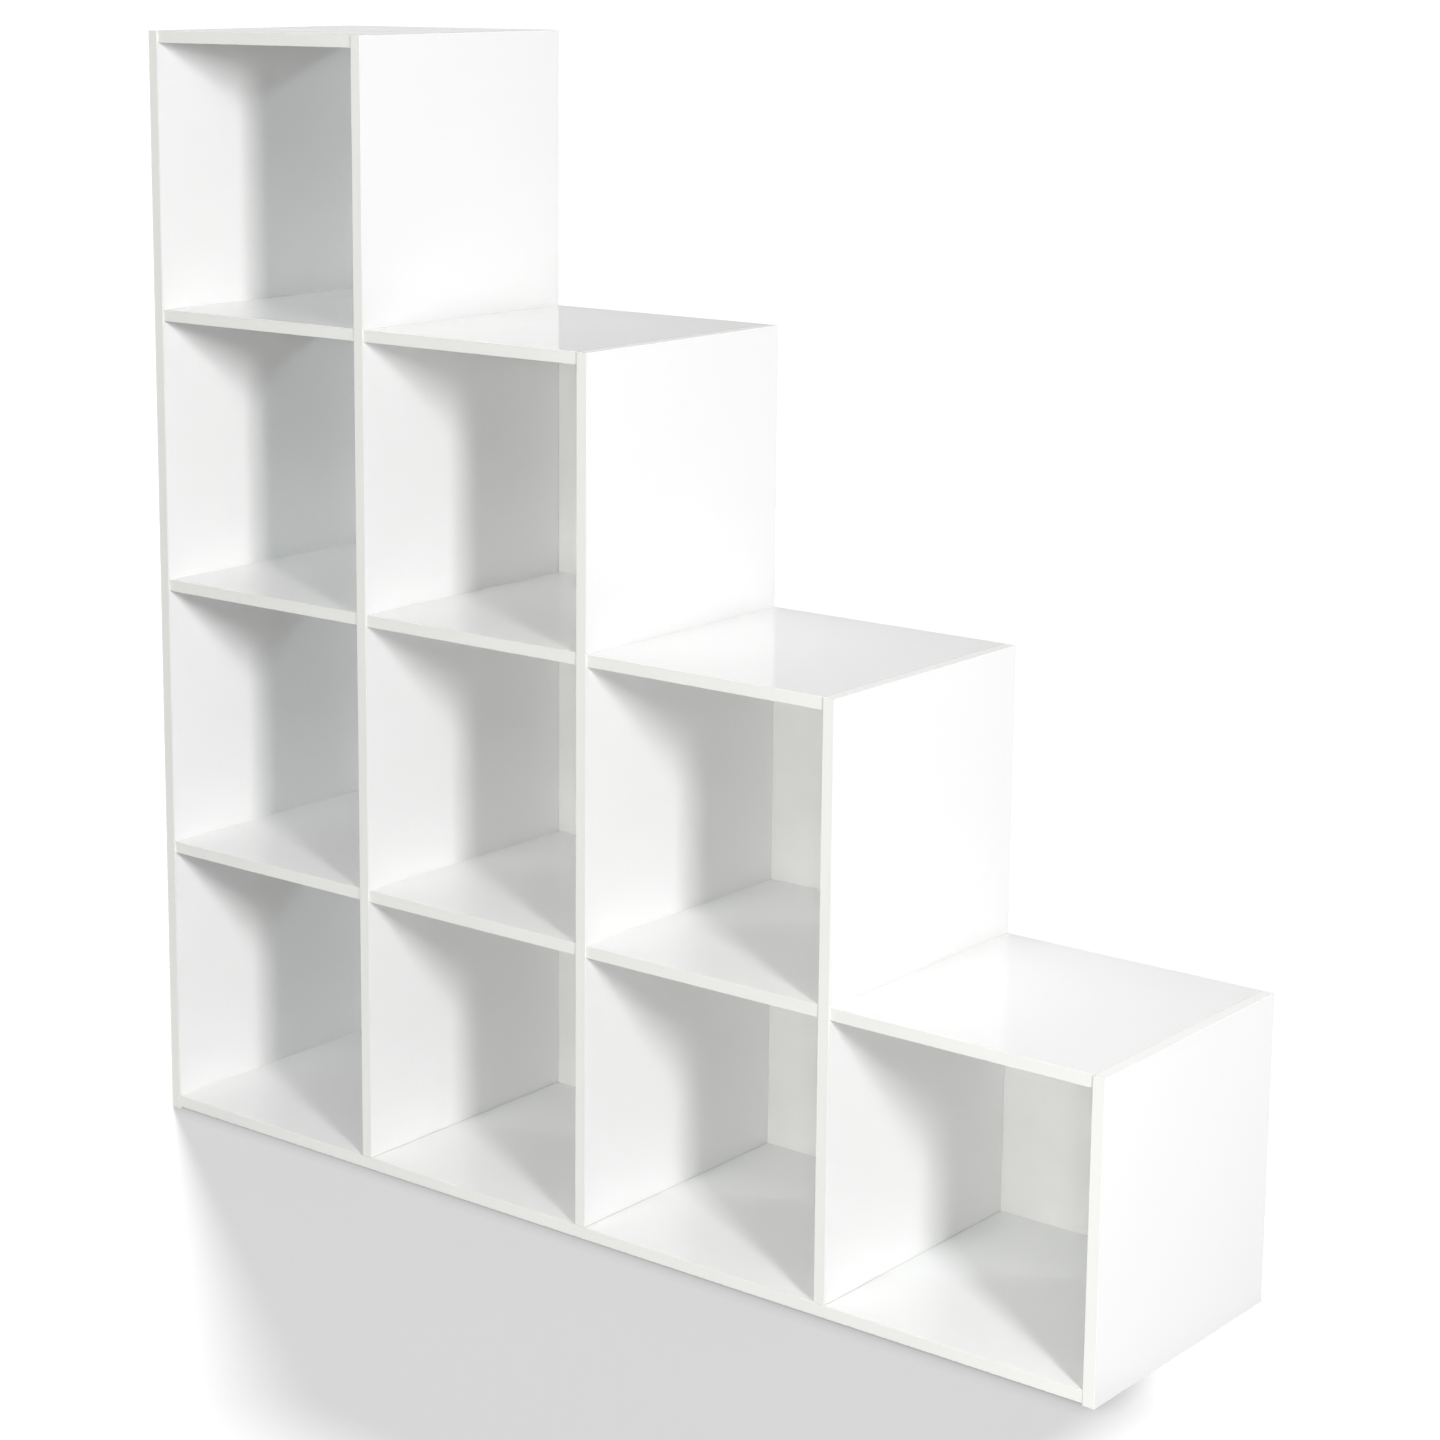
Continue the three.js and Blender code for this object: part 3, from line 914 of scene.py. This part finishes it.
# %% Make and place the screws
SCREW_LENGTH = mm(45)
SCREW_POINT = mm(5)
SCREW_RIM = mm(0.2)
SCREW_PITCH = mm(1.8)
SCREW_THREAD = mm(0.6)
SCREW_THREAD_START = mm(10)
SCREW_RINGS = 150
POINT_RINGS = 12
RECESS_LOW = (mm(-2.1), mm(-0.5), mm(-1))
RECESS_HIGH = (mm(2.1), mm(0.5), mm(1.9))
RECESS_TAPER = (0.35, 0.6)
TURN_STEP = 53


def recess_wing(turn):
    """One of the two crossed wings of the recess, narrower at its floor."""
    wing = block_mesh(RECESS_LOW, RECESS_HIGH)
    for vertex in wing.verts:
        if vertex.co.z > 0:
            vertex.co.x *= RECESS_TAPER[0]
            vertex.co.y *= RECESS_TAPER[1]
    bmesh.ops.rotate(wing, verts=wing.verts, cent=(0, 0, 0), matrix=Matrix.Rotation(turn, 3, "Z"))
    return wing


def screw_object():
    """A screw that points up, with its head's face at z = 0."""
    shank_end = SCREW_LENGTH - SCREW_POINT
    left = [i / POINT_RINGS for i in range(1, POINT_RINGS)]
    profile = [
        (0, 0), (SCREW_HEAD - SCREW_RIM, 0), (SCREW_HEAD, SCREW_RIM),
        *straight(SCREW_SHANK, SCREW_HEAD - SCREW_SHANK, shank_end, SCREW_RINGS),
        *((SCREW_SHANK * (1 - share), shank_end + SCREW_POINT * share) for share in left),
        (0, SCREW_LENGTH),
    ]
    mesh = threaded_mesh(profile, SCREW_PITCH, SCREW_THREAD, SCREW_THREAD_START, SCREW_LENGTH)
    screw = new_object("screw", mesh, [plated_steel])
    cut_out(screw, [recess_wing(0), recess_wing(math.pi / 2)], material_index=0)
    round_shading(screw)
    return screw


screw_master = screw_object()
for number, name in enumerate(screws):
    low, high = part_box(name)
    place = ((low.x + high.x) / 2, (low.y + high.y) / 2, low.z)
    screw = copy_of(screw_master, name + "_steel", place, math.radians(number * TURN_STEP % 90))
    finish_piece(screw, "plated_steel", name)
bpy.data.objects.remove(screw_master)
print("placed", len(screws), "screws")

# %% [markdown]
# ## What the rays see
# A white studio floor is lit far more evenly than a few lamps can do it, so the floor and the walls glow a little
# by themselves. The camera and glossy faces see one glow, and the shelf gets another, weaker one. The first helper
# tells the two kinds of ray apart.

# %% Helpers for the studio
def seen_rays(tree):
    """1 for rays from the camera and for reflected or transmitted ones, and 0 for the rest."""
    path = add_node(tree, "ShaderNodeLightPath").outputs
    seen = calculated(tree, "MAXIMUM", path["Is Camera Ray"], path["Is Glossy Ray"])
    return calculated(tree, "MAXIMUM", seen, path["Is Transmission Ray"])


def glow(tree, kind, brightness, strength=1.0):
    """An even light from a surface or from the world."""
    return add_node(tree, kind, {"Color": brightness, "Strength": strength}).outputs[0]

# %% [markdown]
# ## The floor
# The shelf stands on a pale floor that runs on without an end. What the camera sees of it is its own glow plus
# the light of one lamp, so it is white where the lamp reaches it and grey in the shadow of the shelf. The glow is
# dimmed within two centimetres of the boards. This is a painted contact shadow, and it gives the soft dark line
# where they meet the floor. The light that it sends back up is modest: less of it far in front, and more at the
# right, where the open floor is lit.

# %% Make the floor
FLOOR_REACH = 150
FLOOR_SEEN = 0.62
FLOOR_TONE = 0.12
FLOOR_TONE_DRIFT = 0.03
FLOOR_PATCH = 0.4
PAINTED_SHADOW_REACH = 0.022
PAINTED_SHADOW_SHARE = 0.40
BOUNCE_FAR_AND_NEAR = (0.25, 0.58)
FAR_AND_NEAR = (-1.00, -0.30)
BOUNCE_LEFT_AND_RIGHT = (0.0, 0.23)
LEFT_AND_RIGHT = (0.40, 0.75)

floor_paint, tree, _ = new_material("pale_floor")
tree.nodes.clear()
place = piece_place(tree)
tone = ranged(
    tree, noise_field(tree, place, FLOOR_PATCH).outputs["Fac"],
    to_low=FLOOR_TONE * (1 - FLOOR_TONE_DRIFT), to_high=FLOOR_TONE * (1 + FLOOR_TONE_DRIFT),
)
# Ambient occlusion dims the floor's glow near the boards: a painted contact shadow.
painted_shadow_mask = add_node(tree, "ShaderNodeAmbientOcclusion", {"Distance": PAINTED_SHADOW_REACH}).outputs["AO"]
glow_with_painted_shadow = ranged(tree, painted_shadow_mask, to_low=FLOOR_SEEN * (1 - PAINTED_SHADOW_SHARE), to_high=FLOOR_SEEN)
lit_floor = add_node(tree, "ShaderNodeAddShader", {
    0: add_node(tree, "ShaderNodeBsdfDiffuse", {"Color": tone}).outputs[0],
    1: glow(tree, "ShaderNodeEmission", glow_with_painted_shadow),
})
along = add_node(tree, "ShaderNodeSeparateXYZ", {"Vector": place}).outputs
bounce = calculated(
    tree, "ADD",
    ranged(tree, along["Y"], *FAR_AND_NEAR, *BOUNCE_FAR_AND_NEAR, "SMOOTHSTEP"),
    ranged(tree, along["X"], *LEFT_AND_RIGHT, *BOUNCE_LEFT_AND_RIGHT, "SMOOTHSTEP"),
)
floor_mix = add_node(tree, "ShaderNodeMixShader", {
    0: seen_rays(tree), 1: glow(tree, "ShaderNodeEmission", bounce), 2: lit_floor.outputs[0],
})
add_node(tree, "ShaderNodeOutputMaterial", {"Surface": floor_mix.outputs[0]})

floor_mesh = bmesh.new()
bmesh.ops.create_grid(floor_mesh, x_segments=8, y_segments=8, size=FLOOR_REACH)
floor = new_object("floor", floor_mesh, [floor_paint])
print("floor reaches", FLOOR_REACH, "m")

# %% [markdown]
# ## The room's light
# The ceiling of a white studio is brightest straight above, and its light fades fast towards the horizon. It lies
# on the steps and leaves the upright faces to the lamps. The camera and glossy faces see the room's walls: white
# at the horizon, where they meet the floor, and a pale grey above it, which the steps mirror.

# %% Make the world
ROOM_LIGHT = 2.5
ROOM_LIGHT_POWER = 10
ROOM_WALL = 0.64
ROOM_HORIZON = (0.004, 0.05)

world = bpy.data.worlds.new("studio")
scene.world = world
world.use_nodes = True
tree = world.node_tree
tree.nodes.clear()
direction = add_node(tree, "ShaderNodeTexCoord").outputs["Generated"]
height = add_node(tree, "ShaderNodeSeparateXYZ", {"Vector": direction}).outputs["Z"]
ceiling = calculated(tree, "POWER", calculated(tree, "MAXIMUM", height, 0.0), ROOM_LIGHT_POWER)
wall = ranged(tree, height, *ROOM_HORIZON, 1.0, ROOM_WALL)
room_mix = add_node(tree, "ShaderNodeMixShader", {
    0: seen_rays(tree),
    1: glow(tree, "ShaderNodeBackground", ceiling, ROOM_LIGHT),
    2: glow(tree, "ShaderNodeBackground", wall),
})
add_node(tree, "ShaderNodeOutputWorld", {"Surface": room_mix.outputs[0]})
print("room light", ROOM_LIGHT)

# %% [markdown]
# ## How a lamp is placed
# Each lamp stands off from the middle of the shelf and looks at it. Light linking keeps each lamp to its own
# work, so the floor shows one shadow and not four. A lamp of level 1 would show a white face that looks straight
# at it as pure white.

# %% Helpers for lamps
AIM = Vector((0.0, 0.0, 0.55))


def pieces_named(*starts, ending=""):
    """The pieces whose names start and end so."""
    return [piece for piece in bpy.data.objects if piece.name.startswith(starts) and piece.name.endswith(ending)]


def link_group(name, pieces, state):
    """A collection of pieces that a lamp reaches, or of pieces that it misses or passes."""
    group = bpy.data.collections.new(name)
    for piece in pieces:
        group.objects.link(piece)
    for entry in group.collection_objects:
        entry.light_linking.link_state = state
    return group


def place_lamp(data, azimuth, elevation, distance):
    """A lamp that looks at the middle. Azimuth 0 is straight in front of the shelf and 90 is at its right."""
    turn, rise = math.radians(azimuth), math.radians(elevation)
    towards = Vector((math.sin(turn) * math.cos(rise), -math.cos(turn) * math.cos(rise), math.sin(rise)))
    lamp = bpy.data.objects.new(data.name, data)
    lamp.location = AIM + towards * distance
    lamp.rotation_euler = towards.to_track_quat("Z", "Y").to_euler()
    scene.collection.objects.link(lamp)
    return lamp


def soft_box(name, azimuth, elevation, distance, width, height, level, reaches=(), misses=(floor,)):
    """A flat lamp. It lights only the pieces it reaches, where any are given, and else all but those it misses."""
    data = bpy.data.lights.new(name, "AREA")
    data.shape, data.size, data.size_y = "RECTANGLE", width, height
    data.energy = level * math.pi ** 2 * distance ** 2
    lamp = place_lamp(data, azimuth, elevation, distance)
    if reaches:
        lamp.light_linking.receiver_collection = link_group(name + "_reaches", reaches, "INCLUDE")
    else:
        lamp.light_linking.receiver_collection = link_group(name + "_misses", misses, "EXCLUDE")
    print(name, round(data.energy), "W")
    return lamp

# %% [markdown]
# ## The lamps of the shelf
# The main lamp is a narrow, upright soft box that stands near the shelf at the right, a little above its middle.
# It reaches halfway into each cube and leaves the rest in a soft shade, deeper in for the cubes that are nearer
# to it. A screen of 1.6 by 2 m near the camera fills that shade, and a high lamp in front lightens the cube
# floors and the front edges. The screen leaves out the side board, which gets a screen of its own further down.

# %% Place the lamps of the shelf
KEY_PLACE = (59.6, 19.5, 3.52, 0.42, 0.80)
FILL_PLACE = (31, 4, 6.0, 1.6, 2.0)
HIGH_PLACE = (5, 42, 6.0, 2.2, 2.2)

side_board = pieces_named("left_side_board_core")
soft_box("key_lamp", *KEY_PLACE, level=0.58)
soft_box("fill_lamp", *FILL_PLACE, level=0.25, misses=(floor, *side_board))
soft_box("high_lamp", *HIGH_PLACE, level=0.30)

# %% [markdown]
# ## The lamp of the floor
# A fourth lamp, far away and high behind the shelf on the left, lights only the floor and lays the shelf's shadow
# in front of it. The outer pieces of the lowest cube cast no shadow from that lamp, because the floor at the
# right of the shelf stays white in the photograph.

# %% Place the lamp of the floor
FLOOR_LAMP_AZIMUTH = 231.4117
FLOOR_LAMP_ELEVATION = 55.5
FLOOR_LAMP_LEVEL = 3.5
FLOOR_LAMP_ANGLE = 6
FLOOR_LAMP_DISTANCE = 4
PASSED_BY_FLOOR_LAMP = (
    "right_side_board_", "column_4_top_", "back_panel_4_",
    "bolt_upright_5_", "cam_upright_5_", "bolt_upright_4_level_1_", "cam_upright_4_level_1_",
)

floor_data = bpy.data.lights.new("floor_lamp", "SUN")
floor_data.angle = math.radians(FLOOR_LAMP_ANGLE)
floor_data.energy = FLOOR_LAMP_LEVEL * math.pi / math.sin(math.radians(FLOOR_LAMP_ELEVATION))
floor_lamp = place_lamp(floor_data, FLOOR_LAMP_AZIMUTH, FLOOR_LAMP_ELEVATION, FLOOR_LAMP_DISTANCE)
floor_lamp.light_linking.receiver_collection = link_group("floor_lamp_reaches", [floor], "INCLUDE")
passed = pieces_named(*PASSED_BY_FLOOR_LAMP)
floor_lamp.light_linking.blocker_collection = link_group("floor_lamp_passes", passed, "EXCLUDE")
print("floor lamp", round(floor_data.energy, 1), "W/m2, passes", len(passed), "pieces")

# %% [markdown]
# ## The light deep in the cubes
# In the photograph a cool light falls into the cubes from behind. It draws a slanting edge on the side board, down
# from the top rear corner of each cube of the first column, and it tints the cube floors. The rear lamp gives
# that light: it reaches only the side board and the cube floors, and the back panels let it pass. The panels get
# a weak screen of their own, because they are nearly as light as the boards. The side board is farthest from the
# main lamp and still shows the strongest contrast, so it gets some more of that lamp, and a weaker screen than
# the other boards.

# %% Place the lamps for the cubes
REAR_PLACE = (123.7, 18.6, 5.0, 0.3, 0.3)
REAR_LAMP_COLOUR = (0.82, 0.93, 1.0)
LIT_FROM_BEHIND = ("left_side_board", "bottom_board", "column_1_shelf", "column_2_shelf", "column_3_shelf")

panels = pieces_named("back_panel_", ending="_board")
reached = pieces_named(*LIT_FROM_BEHIND, ending="_core")
rear_lamp = soft_box("rear_lamp", *REAR_PLACE, level=0.12, reaches=reached)
rear_lamp.data.color = REAR_LAMP_COLOUR
rear_lamp.light_linking.blocker_collection = link_group("rear_lamp_passes", panels, "EXCLUDE")
soft_box("panel_lamp", *FILL_PLACE, level=0.15, reaches=panels)
soft_box("side_key_lamp", *KEY_PLACE, level=0.19, reaches=side_board)
soft_box("side_fill_lamp", *FILL_PLACE, level=0.105, reaches=side_board)
print("lit from behind:", len(reached), "pieces")
